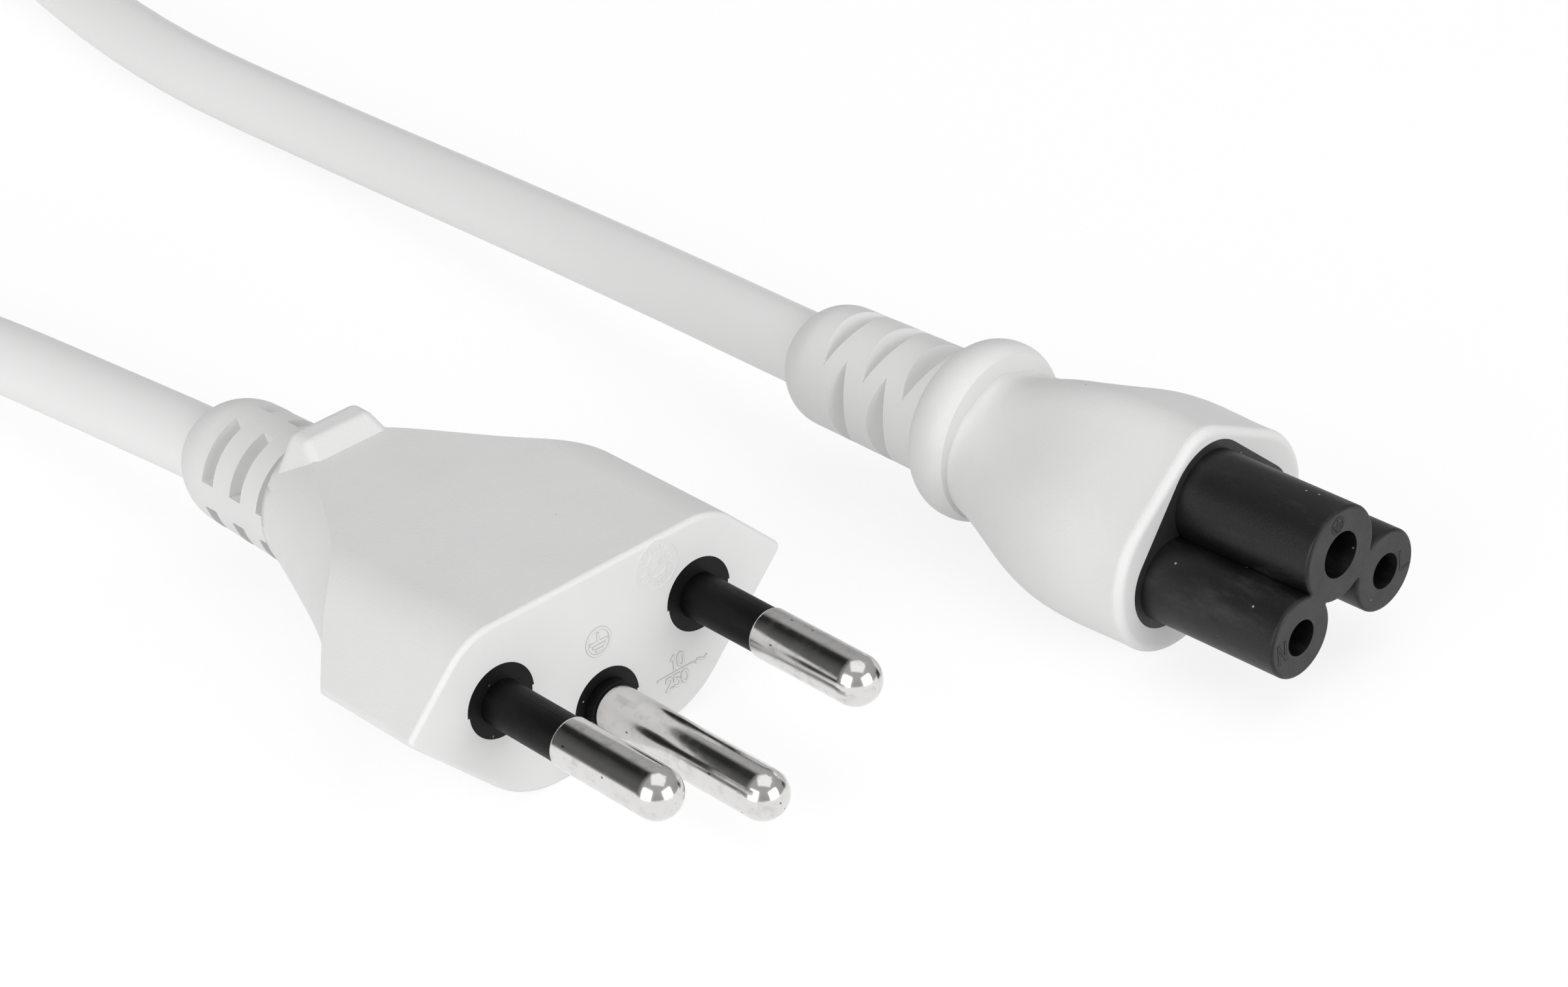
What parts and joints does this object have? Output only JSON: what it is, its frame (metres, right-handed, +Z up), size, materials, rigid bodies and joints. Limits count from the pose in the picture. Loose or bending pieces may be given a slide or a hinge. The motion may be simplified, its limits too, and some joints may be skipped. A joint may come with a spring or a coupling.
{
  "type": "type j plug",
  "caption": "White power lead lying on a table: a flat hexagonal plug with round nickel pins on a black bridge, a coiled cord and a clover-leaf connector.",
  "frame": {"origin": "on the plug's contact face, midway between the line and neutral pins", "axes": "+X out of the contact face along the pins, +Y towards the line pin, +Z up from the table"},
  "size_m": [0.2798, 0.098, 0.0175],
  "materials": {
    "white_plastic": "fine moulded grain",
    "black_plastic": "matte",
    "nickel": "bright nickel plate",
    "brass": "plain",
    "copper": "bare stranded copper",
    "core_brown": "smooth",
    "core_blue": "smooth",
    "core_green": "green with a yellow stripe",
    "cord_sheath": "smooth soft sheath",
    "tie_band": "matte"
  },
  "bodies": {
    "root": {"plug_body": "white_plastic", "pin_bridge": "black_plastic", "line_pin": "nickel", "neutral_pin": "nickel", "earth_pin": "nickel", "line_sleeve": "black_plastic", "neutral_sleeve": "black_plastic", "plug_line_core": "core_brown", "plug_neutral_core": "core_blue", "plug_earth_core": "core_green", "plug_line_wire": "copper", "plug_neutral_wire": "copper", "plug_earth_wire": "copper", "connector_body": "white_plastic", "connector_insert": "black_plastic", "connector_line_contact": "brass", "connector_neutral_contact": "brass", "connector_earth_contact": "brass", "connector_line_core": "core_brown", "connector_neutral_core": "core_blue", "connector_earth_core": "core_green", "connector_line_wire": "copper", "connector_neutral_wire": "copper", "connector_earth_wire": "copper", "plug_cord": "cord_sheath", "cord_coil": "cord_sheath", "connector_cord": "cord_sheath", "coil_tie": "tie_band"}
  },
  "joints": []
}
